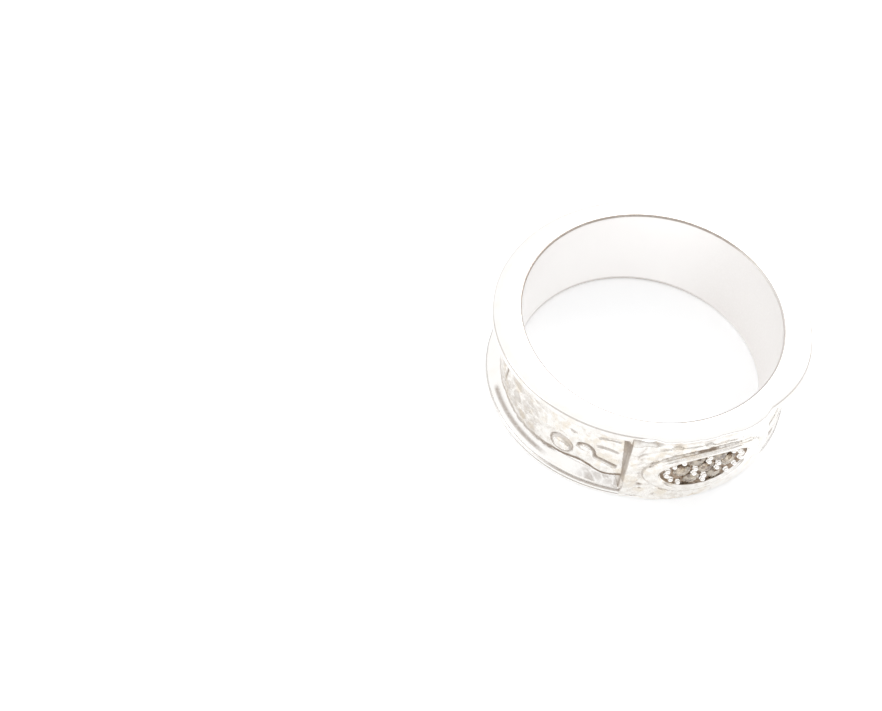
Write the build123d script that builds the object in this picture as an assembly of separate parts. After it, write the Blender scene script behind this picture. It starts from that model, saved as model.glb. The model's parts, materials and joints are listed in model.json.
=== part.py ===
from build123d import *
import math
import os

# A man's cast silver band ring. Two rims run round it with a channel sunk between them. At the front
# a plaque stands across the whole height, with an oval pocket of seven small stones held by beads.
# Each shoulder of the channel has a raised relief: three bars, a hook, a drop and hammered lumps.
# The ring lies on its lower rim. Z is the finger's axis and the oval faces -Y.
# Angles are measured from the front (-Y) and grow towards +X.

# The finger's hole and the plain band behind the channel
bore_diameter = 20.0
band_height = 8.0
bore_bevel = 0.2
floor_wall = 1.0

# Rims: ovals round the bore, thick at the sides and thin at the front. Each has its own walls, measured
# from the bore, and the height of its outer face. Its root is tucked under the channel's floor
upper_rim = {"side": 2.30, "front": 1.44, "back": 1.79, "face": 0.80}
lower_rim = {"side": 2.40, "front": 1.80, "back": 1.90, "face": 1.00}
rim_tuck = 0.1
rim_round = 0.25
rim_slope = 0.45
rim_hollow = 0.12
line_radius = 0.07
line_shares = (0.45, 0.88)

# Plaque across the front
panel_width = 11.7
panel_wall = 2.0
panel_round = 0.3

# Oval pocket, the smooth lip round it, wider at its two ends, and the furrow outside the lip
oval_width = 7.0
oval_height = 4.1
pocket_depth = 0.35
lip_end = 1.3
lip_side = 0.7
lip_rise = 0.2
furrow_width = 0.4
furrow_depth = 0.15

# Stones: a middle row of three between two rows of two
stone_diameter = 1.3
stone_pitch = 1.86
row_pitch = 1.15
stone_proud = 0.1
seat_clearance = 0.03
mains = 8
table_share = 0.56
crown_angle = 34.0
break_angle = 8.0
pavilion_angle = 41.0
girdle_share = 0.05

# Bead prongs: sideways as a share of stone_pitch, upwards as a share of row_pitch
bead_radius = 0.235
bead_post = 0.85
bead_spots = (
    {"name": "between the middle stones", "along": 0.5, "up": 0.27},
    {"name": "at the ends", "along": 1.61, "up": 0.26},
    {"name": "beside the end stones", "along": 1.4, "up": 0.77},
    {"name": "at the corners", "along": 1.06, "up": 1.16},
)
centre_bead_spots = (0.83, 1.3)

# Relief in each shoulder: a plate whose root is sunk in the band. Its face leans, so that it stands out
# most at its lower edge, and relief_rise is its rise at half height. Lengths run along the channel from
# the plaque's wall, as shares of motif_length. Heights and the radii of the lobes, the hook and the drop
# are shares of band_height.
relief_rise = 0.42
relief_root = 0.25
plate_lean = 9.0
relief_length = 15.5
motif_length = 5.8
# The plate's lower edge comes down in three steps, and the first one is tucked under the plaque
plate_steps = (
    {"from": -0.14, "edge": 0.325},
    {"from": 0.66, "edge": 0.290},
    {"from": 1.10, "edge": 0.262},
)
lobes = (
    {"along": 0.22, "up": 0.395, "radius": 0.115},
    {"along": 0.82, "up": 0.400, "radius": 0.125},
    {"along": 1.32, "up": 0.368, "radius": 0.122},
    {"along": 1.70, "up": 0.370, "radius": 0.122},
    {"along": 2.10, "up": 0.368, "radius": 0.122},
)
bars = (
    {"up": 0.760, "radius": 0.10},
    {"up": 0.630, "radius": 0.11},
    {"up": 0.455, "radius": 0.17},
)
bar_span = (0.08, 0.35)
hook = {"along": 0.5, "up": 0.484, "radius": 0.09, "wire": 0.2}
drop = {"along": 0.82, "up": 0.455, "radius": 0.095, "depth": 0.18, "lean": 10.0}

# Hammered lumps: radius of the ball and how far it stands out of the surface
lump_radius = 1.3
lump_rise = 0.12
lump_root = 0.2
# The shoulder's lumps follow the relief in a wave: where it starts, its mean height and its sway as
# shares, and its phase and its step from lump to lump in degrees
shoulder_lumps = 8
wave = {"start": 1.2, "up": 0.58, "sway": 0.13, "phase": 35.0, "step": 137.0}
# The plaque's lumps: shares of its half width and half height
panel_lumps = (
    {"across": -0.84, "up": 0.72},
    {"across": -0.86, "up": 0.16},
    {"across": -0.82, "up": -0.78},
    {"across": -0.55, "up": 0.86},
    {"across": -0.52, "up": -0.88},
    {"across": -0.22, "up": 0.90},
    {"across": 0.12, "up": 0.91},
    {"across": 0.44, "up": 0.87},
    {"across": 0.46, "up": -0.90},
    {"across": 0.82, "up": 0.76},
    {"across": 0.87, "up": 0.22},
    {"across": 0.85, "up": -0.34},
    {"across": 0.80, "up": -0.82},
)

bore_radius = bore_diameter / 2
floor_radius = bore_radius + floor_wall
relief_radius = floor_radius + relief_rise
panel_radius = bore_radius + panel_wall
lip_radius = panel_radius + lip_rise
pocket_radius = panel_radius - pocket_depth
stone_radius = stone_diameter / 2
facet_step = 360 / mains
girdle_inner = stone_radius * math.cos(math.radians(facet_step / 4))
girdle_radius = pocket_radius + stone_proud
root_radius = bore_radius + floor_wall / 2
middle = band_height / 2
reach = 2 * (bore_radius + panel_wall + lower_rim["side"])
wall_angle = math.degrees(math.asin(panel_width / 2 / relief_radius))


def front_plane(angle, radius, height):
    """A plane facing outwards on the ring's wall: x runs along the wall and y runs up."""
    a = math.radians(angle)
    return Plane(
        origin=(radius * math.sin(a), -radius * math.cos(a), height),
        x_dir=(math.cos(a), math.sin(a), 0),
        z_dir=(math.sin(a), -math.cos(a), 0),
    )


def hoop(inner, outer, low, high):
    """A plain ring of rectangular section about the bore's axis."""
    solid = Cylinder(outer, high - low) - Cylinder(inner, 2 * (high - low))
    return Pos(0, 0, (low + high) / 2) * solid


def swept(section, start, end):
    """A section in the XZ plane turned about the bore's axis from one angle to another."""
    return Rot(0, 0, start - 90) * revolve(section, axis=Axis.Z, revolution_arc=end - start)


def turned_over(piece):
    """The piece's mirror image in the ring's middle plane."""
    return mirror(piece, about=Plane.XY.offset(middle))


def turned_rim(radius, face):
    """A round rim that rests on z = 0, with its rounded edge and hollow channel wall."""
    foot = floor_radius - rim_tuck
    top = face + rim_slope
    mid = ((radius + foot) / 2, (face + top) / 2 - rim_hollow)
    corner = rim_round * (1 - math.sqrt(0.5))
    outline = Polyline((foot, top), (root_radius, top), (root_radius, 0), (radius - rim_round, 0))
    outline += ThreePointArc((radius - rim_round, 0), (radius - corner, corner), (radius, rim_round))
    outline += Line((radius, rim_round), (radius, face))
    outline += ThreePointArc((radius, face), mid, (foot, top))
    return revolve(Plane.XZ * make_face(outline), axis=Axis.Z)


def cut_rim_lines(solid, radius, face):
    """Turns two fine lines into a round rim's face."""
    for share in line_shares:
        line = Plane.XZ * (Pos(radius, face * share) * Circle(line_radius))
        solid -= revolve(line, axis=Axis.Z)
    return solid


def squeezed(solid, size):
    """A round rim squeezed from front to back into its oval and moved behind the bore's axis."""
    depth = bore_radius + (size["front"] + size["back"]) / 2
    behind = (size["back"] - size["front"]) / 2
    return Pos(0, behind, 0) * scale(solid, by=(1, depth / (bore_radius + size["side"]), 1))


def rims():
    """Both rims: the lower one carries the two lines."""
    radius = bore_radius + lower_rim["side"]
    lower = cut_rim_lines(turned_rim(radius, lower_rim["face"]), radius, lower_rim["face"])
    upper = turned_rim(bore_radius + upper_rim["side"], upper_rim["face"])
    return squeezed(lower, lower_rim) + turned_over(squeezed(upper, upper_rim))


def panel():
    """The plaque: a piece of a thicker ring with rounded edges, cut by two parallel walls."""
    section = Pos((root_radius + panel_radius) / 2, middle) * Rectangle(
        panel_radius - root_radius, band_height
    )
    outer = section.vertices().sort_by(Axis.X)[-2:]
    section = fillet(outer, panel_round)
    solid = revolve(Plane.XZ * section, axis=Axis.Z)
    window = Pos(0, -reach / 2, middle) * Box(panel_width, reach, 2 * band_height)
    return solid & window


def along_angle(share):
    """The angle reached by a share of the motif's length along the channel."""
    return wall_angle + math.degrees(share * motif_length / relief_radius)


def radial_rod(angle, height, radius):
    """A long rod that points outwards, for cutting an outline into the ring's wall."""
    return front_plane(angle, 0, height) * (Pos(0, 0, reach / 2) * Cylinder(radius, reach))


def lump(angle, height, radius):
    """A low round lump on the wall of the given radius."""
    below = Plane.XY.offset(lump_radius - lump_rise - lump_root)
    dome = split(Sphere(lump_radius), bisect_by=below, keep=Keep.TOP)
    return front_plane(angle, radius - lump_radius + lump_rise, height) * dome


def plate_radius(height):
    """How far the leaning plate's face lies from the axis at a height."""
    return relief_radius - (height - middle) * math.tan(math.radians(plate_lean))


def plate_section(low):
    """The plate's section from a lower edge up to the upper rim."""
    inner, high = floor_radius - relief_root, band_height - upper_rim["face"]
    corners = ((inner, low), (plate_radius(low), low), (plate_radius(high), high), (inner, high))
    return Plane.XZ * make_face(Polyline(*corners, corners[0]))


def relief_plate():
    """The right shoulder's raised plate, with its scalloped lower edge and its hammered lumps."""
    end = wall_angle + math.degrees(relief_length / relief_radius)
    plate = Part()
    for part in plate_steps:
        plate += swept(plate_section(part["edge"] * band_height), along_angle(part["from"]), end)
    shell = revolve(plate_section(lower_rim["face"]), axis=Axis.Z)
    for lobe in lobes:
        rod = radial_rod(along_angle(lobe["along"]), lobe["up"] * band_height, lobe["radius"] * band_height)
        plate += rod & shell
    first = along_angle(wave["start"])
    step = (end - first) / shoulder_lumps
    for i in range(shoulder_lumps):
        turn = math.radians(wave["phase"] + wave["step"] * i)
        height = band_height * (wave["up"] + wave["sway"] * math.sin(turn))
        plate += lump(first + i * step, height, plate_radius(height))
    return plate


def on_plate(share, up):
    """The plane of the leaning plate's face at a share along the motif and a share of the height."""
    height = up * band_height
    return front_plane(along_angle(share), plate_radius(height), height) * Rot(-plate_lean, 0, 0)


def motif():
    """The cutters that sink three bars, a hook and a drop into the right shoulder's plate."""
    start, end = (along_angle(share) for share in bar_span)
    ring = Torus(hook["radius"] * band_height, hook["wire"])
    upper = Pos(0, reach / 2, 0) * Box(reach, reach, reach)
    cutter = on_plate(hook["along"], hook["up"]) * (ring & upper)
    for bar in bars:
        height = bar["up"] * band_height
        section = Plane.XZ * (Pos(plate_radius(height), height) * Circle(bar["radius"]))
        cutter += swept(section, start, end)
    pit = Pos(0, 0, reach / 4) * Cylinder(drop["radius"] * band_height, reach / 2)
    pit = Pos(0, 0, -drop["depth"]) * Rot(drop["lean"], 0, 0) * pit
    return cutter + on_plate(drop["along"], drop["up"]) * pit


def oval_rod(end, side):
    """An oval rod through the front: the pocket's oval, wider by end at its ends and by side elsewhere."""
    face = Plane.XZ * (Pos(0, middle) * Ellipse(oval_width / 2 + end, oval_height / 2 + side))
    return extrude(face, reach)


def bezel():
    """The smooth lip round the pocket, before the pocket is cut."""
    return oval_rod(lip_end, lip_side) & hoop(root_radius, lip_radius, 0, band_height)


def cut_furrow(solid):
    """The furrow that sets the lip off from the plaque."""
    ring = oval_rod(lip_end + furrow_width, lip_side + furrow_width) - oval_rod(lip_end, lip_side)
    shell = hoop(panel_radius - furrow_depth, panel_radius + lump_radius, 0, band_height)
    return solid - (ring & shell)


def add_panel_lumps(solid):
    """Hammered lumps round the oval."""
    for spot in panel_lumps:
        angle = math.degrees(math.asin(spot["across"] * panel_width / 2 / panel_radius))
        solid += lump(angle, middle * (1 + spot["up"]), panel_radius)
    return solid


def wall_point(x, up, radius):
    """The outward plane at a distance x along the oval and up from its centre."""
    return front_plane(math.degrees(math.asin(x / radius)), radius, middle + up)


def stone_spots():
    """The stones' places, from the lower row to the upper one."""
    half = stone_pitch / 2
    lower = [(-half, -row_pitch), (half, -row_pitch)]
    centre = [(-stone_pitch, 0), (0, 0), (stone_pitch, 0)]
    upper = [(-half, row_pitch), (half, row_pitch)]
    return lower + centre + upper


def bead_places():
    """The beads' places, mirrored to the four quarters of the oval."""
    places = [(0, side * share * row_pitch) for share in centre_bead_spots for side in (-1, 1)]
    for spot in bead_spots:
        for side in (-1, 1):
            for end in (-1, 1):
                places.append((side * spot["along"] * stone_pitch, end * spot["up"] * row_pitch))
    return places


def bead():
    """One bead prong: a ball on a short post, standing on the pocket's floor."""
    height = stone_proud + bead_radius * bead_post
    post = Pos(0, 0, (height - pocket_depth) / 2) * Cylinder(
        bead_radius * bead_post, height + pocket_depth
    )
    return post + Pos(0, 0, height) * Sphere(bead_radius)


def seat():
    """The hole that a stone drops into: a cone round its lower edges, then a straight shaft."""
    radius = stone_radius + seat_clearance
    edge = girdle_inner / math.cos(math.radians(facet_step / 2))
    depth = girdle_inner * math.tan(math.radians(pavilion_angle)) * (1 + seat_clearance / edge)
    cone = Pos(0, 0, -depth / 2) * Cone(0, edge + seat_clearance, depth)
    shaft = Pos(0, 0, reach / 4) * Cylinder(radius, reach / 2)
    return (cone & Cylinder(radius, reach)) + shaft


def facet(stone, tilt, turn, height):
    """Cuts one flat facet, tilted from the stone's axis, through the girdle's side at a height."""
    t, a = math.radians(tilt), math.radians(turn)
    normal = (math.sin(t) * math.cos(a), math.sin(t) * math.sin(a), math.cos(t))
    origin = (girdle_inner * math.cos(a), girdle_inner * math.sin(a), height)
    return split(stone, bisect_by=Plane(origin=origin, z_dir=normal), keep=Keep.BOTTOM)


def stone():
    """A round brilliant: a table, a ring of mains and one of girdle facets above, mains below."""
    girdle = girdle_share * stone_diameter
    outline = RegularPolygon(stone_radius, 2 * mains)
    rough = extrude(outline, stone_radius) + extrude(outline, -stone_radius)
    crown = stone_radius * (1 - table_share) * math.tan(math.radians(crown_angle))
    gem = split(rough, bisect_by=Plane.XY.offset(girdle + crown), keep=Keep.BOTTOM)
    for i in range(mains):
        turn = facet_step * i
        gem = facet(gem, crown_angle, turn, girdle)
        gem = facet(gem, crown_angle + break_angle, turn + facet_step / 2, girdle)
        gem = facet(gem, 180 - pavilion_angle, turn, 0)
    return gem


def band():
    """The whole cast ring as one solid."""
    solid = Pos(0, 0, middle) * Cylinder(floor_radius, band_height) + rims()
    plate, cutter = relief_plate(), motif()
    solid += plate + mirror(plate, about=Plane.YZ)
    solid -= cutter + mirror(cutter, about=Plane.YZ)
    front = cut_furrow(add_panel_lumps(panel()))
    slab = hoop(root_radius, lip_radius + lump_radius, 0, band_height)
    solid += (front & slab) + bezel()
    solid -= oval_rod(0, 0) - Pos(0, 0, middle) * Cylinder(pocket_radius, 4 * band_height)
    for x, up in bead_places():
        solid += wall_point(x, up, pocket_radius) * bead()
    for x, up in stone_spots():
        solid -= wall_point(x, up, girdle_radius) * seat()
    return cut_bore(solid)


def cut_bore(solid):
    """Opens the finger's hole and bevels its two edges."""
    solid -= Pos(0, 0, middle) * Cylinder(bore_radius, 4 * band_height)
    cone = Cone(bore_radius + 2 * bore_bevel, bore_radius, 2 * bore_bevel)
    return solid - (cone + turned_over(cone))


os.makedirs("parts", exist_ok=True)
export_step(band(), "parts/band.step")
gem = stone()
for number, (x, up) in enumerate(stone_spots(), start=1):
    export_step(wall_point(x, up, girdle_radius) * gem, f"parts/stone_{number}.step")
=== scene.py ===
# %% [markdown]
# # A cast silver ring, dressed round its frame
#
# The ring lies on its side on a pale table, as a jeweller puts it down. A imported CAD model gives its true
# sizes. This lesson loads it as a fixed frame and builds the looks round it: the cast band with its relief
# and hammered plaque, the smooth oval lip, the dark bed with its beads, the stones and the finishes. Lengths
# are in millimetres until a mesh is made.

# %% Load the frame
import json
import math
import bpy
import numpy as np
from mathutils import Matrix, Vector


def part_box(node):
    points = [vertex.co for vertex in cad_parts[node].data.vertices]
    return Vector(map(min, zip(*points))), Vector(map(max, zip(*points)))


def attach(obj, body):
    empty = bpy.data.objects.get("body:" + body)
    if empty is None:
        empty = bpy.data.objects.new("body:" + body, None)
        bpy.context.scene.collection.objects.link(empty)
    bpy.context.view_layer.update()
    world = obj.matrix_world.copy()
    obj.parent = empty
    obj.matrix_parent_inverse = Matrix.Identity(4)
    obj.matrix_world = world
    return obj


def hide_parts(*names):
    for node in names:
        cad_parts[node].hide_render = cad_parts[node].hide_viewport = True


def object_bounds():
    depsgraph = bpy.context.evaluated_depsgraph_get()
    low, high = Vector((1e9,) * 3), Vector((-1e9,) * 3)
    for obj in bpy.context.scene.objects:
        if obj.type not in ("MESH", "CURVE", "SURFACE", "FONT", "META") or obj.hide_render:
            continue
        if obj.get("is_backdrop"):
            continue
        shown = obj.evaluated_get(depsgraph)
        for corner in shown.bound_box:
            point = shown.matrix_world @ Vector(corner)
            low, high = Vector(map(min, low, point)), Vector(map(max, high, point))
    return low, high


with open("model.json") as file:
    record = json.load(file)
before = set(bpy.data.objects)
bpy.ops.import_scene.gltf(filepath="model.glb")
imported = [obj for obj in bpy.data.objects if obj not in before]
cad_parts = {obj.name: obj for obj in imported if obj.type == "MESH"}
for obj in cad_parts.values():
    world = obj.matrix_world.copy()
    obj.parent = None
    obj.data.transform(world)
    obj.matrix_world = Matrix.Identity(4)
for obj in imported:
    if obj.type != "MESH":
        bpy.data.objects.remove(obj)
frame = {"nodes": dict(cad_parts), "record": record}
cad_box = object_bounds()
MM = 0.001
print("frame nodes:", sorted(frame["nodes"]))

# %% [markdown]
# ## Sizes
#
# A maker starts from the finger size and the band's height. Both come from the frame: the finger's hole is a
# mount in its record, and the outer sizes are read off the band's box. What the box can't tell, such as the
# channel's depth, is written once as a named value.

# %% Read the main sizes
finger_hole = next(m for m in frame["record"]["mounts"] if m["name"] == "finger_bore")
bore_radius = finger_hole["dims"]["r_mm"]
band_low, band_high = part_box("band")
band_height = band_high.z / MM
lip_radius = -band_low.y / MM
middle = band_height / 2
print(f"bore {2 * bore_radius:.1f}, height {band_height:.2f}, lip {lip_radius:.2f} mm from the axis")

# %% Name the sizes that the box can't tell
bore_edge = 0.2
floor_wall = 1.0
upper_rim = {"side": 12.30, "front": 11.44, "back": 11.79, "face": 0.80}
upper_rim["uneven"] = {"at": 46.0, "wide": 20.0, "by": 0.36}
lower_rim = {"side": band_high.x / MM, "front": 11.80, "back": band_high.y / MM, "face": 1.00}
lower_rim["uneven"] = {"at": 58.0, "wide": 18.0, "by": -0.33}
rim_round = 0.25
rim_shoulder = 0.18
rim_slope = 0.45
line_radius = 0.07
line_shares = (0.45, 0.88)
slope_bend = 0.75
lip_rise = 0.2
panel_width = 11.7
relief_rise = 0.42
plate_lean = math.radians(9.0)
pocket_depth = 0.35

floor_radius = bore_radius + floor_wall
relief_radius = floor_radius + relief_rise
panel_radius = lip_radius - lip_rise
pocket_radius = panel_radius - pocket_depth
wall_angle = math.asin(panel_width / 2 / relief_radius)
print(f"floor {floor_radius:.2f}, relief {relief_radius:.2f}, plaque {panel_radius:.2f} mm from the axis")

# %% [markdown]
# ## The camera
#
# The photographer looked down on the ring from its front left. The place was worked out from the ring's round
# edges in the picture. The focal length in pixels turns into a lens on Blender's 36 mm sensor.

# %% A helper for new objects
def put_in_scene(name, data):
    """A new object that shows the data, linked to the scene."""
    thing = bpy.data.objects.new(name, data)
    bpy.context.scene.collection.objects.link(thing)
    return thing


# %% Place the camera
camera_place = Vector((-34.28, -49.11, 79.77)) * MM
camera_heading = math.radians(19.4)
camera_pitch = math.radians(53.78)
camera_roll = math.radians(2.93)
focal_pixels = 1200
picture_width = 882
sensor_width = 36

lens = bpy.data.cameras.new("photo_camera")
lens.sensor_width = sensor_width
lens.lens = sensor_width * focal_pixels / picture_width
lens.clip_start = 0.005
camera = put_in_scene("photo_camera", lens)
camera.matrix_world = (
    Matrix.Translation(camera_place)
    @ Matrix.Rotation(-camera_heading, 4, "Z")
    @ Matrix.Rotation(math.pi / 2 - camera_pitch, 4, "X")
    @ Matrix.Rotation(camera_roll, 4, "Z")
)
bpy.context.scene.camera = camera
print(f"lens {lens.lens:.1f} mm, {camera_place.length / MM:.0f} mm from the ring's foot")

# %% [markdown]
# ## Helpers for node trees
#
# Every finish below is a small tree of nodes. A few helpers keep the trees short to read: they set inputs,
# add nodes, do arithmetic, mix colours and draw noise, and the last one starts a material.

# %% Helpers for nodes
def set_inputs(tree, node, inputs):
    """Gives each named socket a plain value or another node's output."""
    for socket, value in inputs.items():
        if isinstance(value, bpy.types.NodeSocket):
            tree.links.new(value, node.inputs[socket])
        else:
            node.inputs[socket].default_value = value


def add_node(tree, kind, inputs=(), **settings):
    """A node with its inputs and its settings."""
    node = tree.nodes.new(kind)
    for name, value in settings.items():
        setattr(node, name, value)
    set_inputs(tree, node, dict(inputs))
    return node


def math_node(tree, operation, a, b=0.0, clamp=False):
    """One step of arithmetic, and its result."""
    node = add_node(tree, "ShaderNodeMath", {0: a, 1: b}, operation=operation, use_clamp=clamp)
    return node.outputs[0]


def times(tree, a, b):
    """A product, which is the step that the trees need most."""
    return math_node(tree, "MULTIPLY", a, b)


def vector_node(tree, operation, a, b=(0, 0, 0)):
    """One step of arithmetic with vectors, and its result."""
    node = add_node(tree, "ShaderNodeVectorMath", {0: a, 1: b}, operation=operation)
    return node.outputs["Value" if operation == "LENGTH" else "Vector"]


def ramp(tree, value, low, high, to_low=0.0, to_high=1.0):
    """A value from low to high turned smoothly into one from to_low to to_high."""
    sockets = {"Value": value, "From Min": low, "From Max": high, "To Min": to_low, "To Max": to_high}
    return add_node(tree, "ShaderNodeMapRange", sockets, interpolation_type="SMOOTHSTEP").outputs[0]


def mix_colours(tree, share, first, second):
    """Two colours mixed by a share."""
    return add_node(tree, "ShaderNodeMix", {0: share, 6: first, 7: second}, data_type="RGBA").outputs[2]


def spot_in_mm(tree):
    """A point's place in millimetres, in the frame that all pieces share."""
    place = add_node(tree, "ShaderNodeTexCoord").outputs["Object"]
    return vector_node(tree, "MULTIPLY", place, (1 / MM,) * 3)


def noise(tree, spot, scale, detail, squeeze=None):
    """Soft noise from 0 to 1, with scale and squeeze as patches per millimetre."""
    if squeeze:
        spot = add_node(tree, "ShaderNodeMapping", {"Vector": spot, "Scale": squeeze}).outputs[0]
    return add_node(tree, "ShaderNodeTexNoise", {"Vector": spot, "Scale": scale, "Detail": detail}).outputs[0]


def new_material(name):
    """A material, its tree and its one shader."""
    material = bpy.data.materials.new(name)
    material.use_nodes = True
    shader = material.node_tree.nodes["Principled BSDF"]
    return material, material.node_tree, shader


# %% [markdown]
# ## Light and table
#
# Silver shows only what it mirrors, so the room matters more than the lamps. Here it is a white tent that is
# open at its foot. The dim strip at the foot draws the thin grey lines along every edge.

# %% Light the white tent
tent = {"brightness": 1.05, "foot": (0.32, 0.28, 0.25, 1), "foot_low": 0.02, "foot_high": 0.34}


def light_tent(tent):
    """A white room with a dim foot, which fades out between two heights."""
    world = bpy.data.worlds.new("white_tent")
    bpy.context.scene.world = world
    world.use_nodes = True
    tree = world.node_tree
    direction = add_node(tree, "ShaderNodeTexCoord").outputs["Generated"]
    height = add_node(tree, "ShaderNodeSeparateXYZ", {0: direction}).outputs["Z"]
    above_foot = ramp(tree, height, tent["foot_low"], tent["foot_high"])
    colour = mix_colours(tree, above_foot, tent["foot"], (1, 1, 1, 1))
    set_inputs(tree, tree.nodes["Background"], {"Color": colour, "Strength": tent["brightness"]})


light_tent(tent)
bpy.context.scene.view_settings.view_transform = "Standard"


def soft_box(name, place, size, power):
    """A square lamp that looks at the ring."""
    light = bpy.data.lights.new(name, "AREA")
    light.size = size * MM
    light.energy = power
    lamp = put_in_scene(name, light)
    lamp.location = Vector(place) * MM
    lamp.rotation_euler = (-lamp.location).to_track_quat("-Z", "Y").to_euler()


soft_box("box_behind", place=(200, 160, 200), size=200, power=0.30)
soft_box("box_left", place=(-210, 30, 120), size=140, power=0.06)
print("white tent with a dim foot, and two soft boxes")

# %% [markdown]
# The table is a light table's white paper. It glows a little, so that nearly no shadow falls round the ring,
# and its glow fills the finger's hole.

# %% Lay the table
paper_glow = 0.18
table_size = 900 * MM
corners = [(x * table_size, y * table_size, 0) for x, y in ((-1, -1), (1, -1), (1, 1), (-1, 1))]
table_mesh = bpy.data.meshes.new("white_table")
table_mesh.from_pydata(corners, [], [(0, 1, 2, 3)])
table = put_in_scene("white_table", table_mesh)
paper, paper_tree, paper_shader = new_material("white_paper")
paper_look = {"Base Color": (0.93, 0.94, 0.95, 1), "Roughness": 0.85, "Specular IOR Level": 0.1}
paper_look |= {"Emission Color": (1, 1, 1, 1), "Emission Strength": paper_glow}
set_inputs(paper_tree, paper_shader, paper_look)
table.data.materials.append(paper)
table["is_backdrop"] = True
print("table laid")

# %% [markdown]
# ## The silver
#
# Cast silver is polished on the rims and the lip, keeps the cream skin of the casting where it is hammered,
# and holds a brown tarnish in its low places. The finger's hole is only brushed. One material does all four.
# Two numbers that each mesh carries say how much of the tarnish and of the skin a point has. The tarnish
# number also carries painted shade, painted shadows and painted dark reflections in the same brown. The hole
# is found by its distance from the axis.

# %% Colours of the silver
polished = (0.97, 0.955, 0.935, 1)
cloudy = (0.95, 0.915, 0.865, 1)
brushed_hole = (0.985, 0.965, 0.95, 1)
skin_light = (0.91, 0.885, 0.85, 1)
skin_dark = (0.76, 0.72, 0.67, 1)
skin_brown = (0.80, 0.73, 0.63, 1)
# This brown is both the tarnish and the painted shade, shadows and dark reflections.
tarnish_and_shade_brown = (0.26, 0.195, 0.145, 1)
pocket_tarnish = (0.44, 0.33, 0.245, 1)


# %% Mix the silver
def silver_material(name, polish, tarnish_and_shade_colour):
    """Silver of a given roughness, with casting skin, tarnish with painted shade, and a brushed finger's
    hole.
    """
    material, tree, shader = new_material(name)
    spot = spot_in_mm(tree)
    from_axis = vector_node(tree, "LENGTH", vector_node(tree, "MULTIPLY", spot, (1, 1, 0)))
    in_hole = ramp(tree, from_axis, bore_radius + bore_edge / 2, bore_radius + bore_edge / 4)
    # This number is the tarnish with painted shade, painted shadows and painted dark reflections added in.
    depth = add_node(tree, "ShaderNodeAttribute", attribute_name="tarnish_and_shade").outputs["Fac"]
    cast = add_node(tree, "ShaderNodeAttribute", attribute_name="cast").outputs["Fac"]
    cloud = noise(tree, spot, scale=0.9, detail=5.0)
    mottle = noise(tree, spot, scale=2.0, detail=5.0)
    grain = noise(tree, spot, scale=6.0, detail=4.0)
    streaks = noise(tree, spot, scale=1.0, detail=4.0, squeeze=(2.6, 2.6, 1.1))
    brushed = noise(tree, spot, scale=1.5, detail=3.0, squeeze=(0.6, 0.6, 14.0))

    stain = times(tree, ramp(tree, cloud, 0.45, 0.75), 0.5)
    brown = times(tree, ramp(tree, cloud, 0.50, 0.66), 0.8)
    skin = mix_colours(tree, ramp(tree, mottle, 0.42, 0.72), skin_light, skin_dark)
    skin = mix_colours(tree, brown, skin, skin_brown)
    bright = mix_colours(tree, cast, mix_colours(tree, stain, polished, cloudy), skin)
    bright = mix_colours(tree, in_hole, bright, brushed_hole)
    tarnish_and_shade_mix = math_node(tree, "MULTIPLY", depth, ramp(tree, grain, 0.25, 0.6, 0.75, 1.0), clamp=True)
    colour = mix_colours(tree, tarnish_and_shade_mix, bright, tarnish_and_shade_colour)

    gloss = ramp(tree, grain, 0.3, 0.8, polish, polish + 0.08)
    for share, added in ((in_hole, 0.20), (tarnish_and_shade_mix, 0.25), (cast, 0.12)):
        gloss = math_node(tree, "ADD", gloss, times(tree, share, added))

    grain_share = math_node(tree, "ADD", times(tree, cast, 0.35), 0.12)
    height = times(tree, grain, grain_share)
    for pattern, where, strength in ((brushed, in_hole, 0.5), (streaks, cast, 1.6)):
        share = times(tree, where, strength)
        height = math_node(tree, "ADD", height, times(tree, pattern, share))
    bump = add_node(tree, "ShaderNodeBump", {"Height": height, "Strength": 0.12, "Distance": 0.05 * MM})
    look = {"Base Color": colour, "Metallic": 1.0, "Roughness": gloss, "Normal": bump.outputs[0]}
    set_inputs(tree, shader, look)
    return material


silver = silver_material("cast_silver", polish=0.10, tarnish_and_shade_colour=tarnish_and_shade_brown)
dark_silver = silver_material("tarnished_silver", polish=0.22, tarnish_and_shade_colour=pocket_tarnish)
print("silver mixed")

# %% [markdown]
# ## The band's section
#
# The plain ring is two rims with a channel between them. Each rim is an oval, thick at the sides of the
# finger and thin at the front, and the lower one stands out a little more. Filing has left both a little
# uneven on the ring's right. Each has a slightly hollow slope down to the channel's floor, and the lower one
# has two fine lines in its face. One smooth grid of distances from the axis holds the whole casting.

# %% The rims and the channel
def rim_reach(angle, rim):
    """An oval rim's outer radius at an angle from the front."""
    depth = (rim["front"] + rim["back"]) / 2
    behind = (rim["back"] - rim["front"]) / 2
    across, ahead = np.sin(angle) / rim["side"], np.cos(angle) / depth
    a = across**2 + ahead**2
    half_b = ahead * behind / depth
    oval = (np.sqrt(half_b**2 + a * (1 - (behind / depth) ** 2)) - half_b) / a
    uneven = rim["uneven"]
    return oval + uneven["by"] * np.exp(-(((np.degrees(angle) - uneven["at"]) / uneven["wide"]) ** 2))


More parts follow.
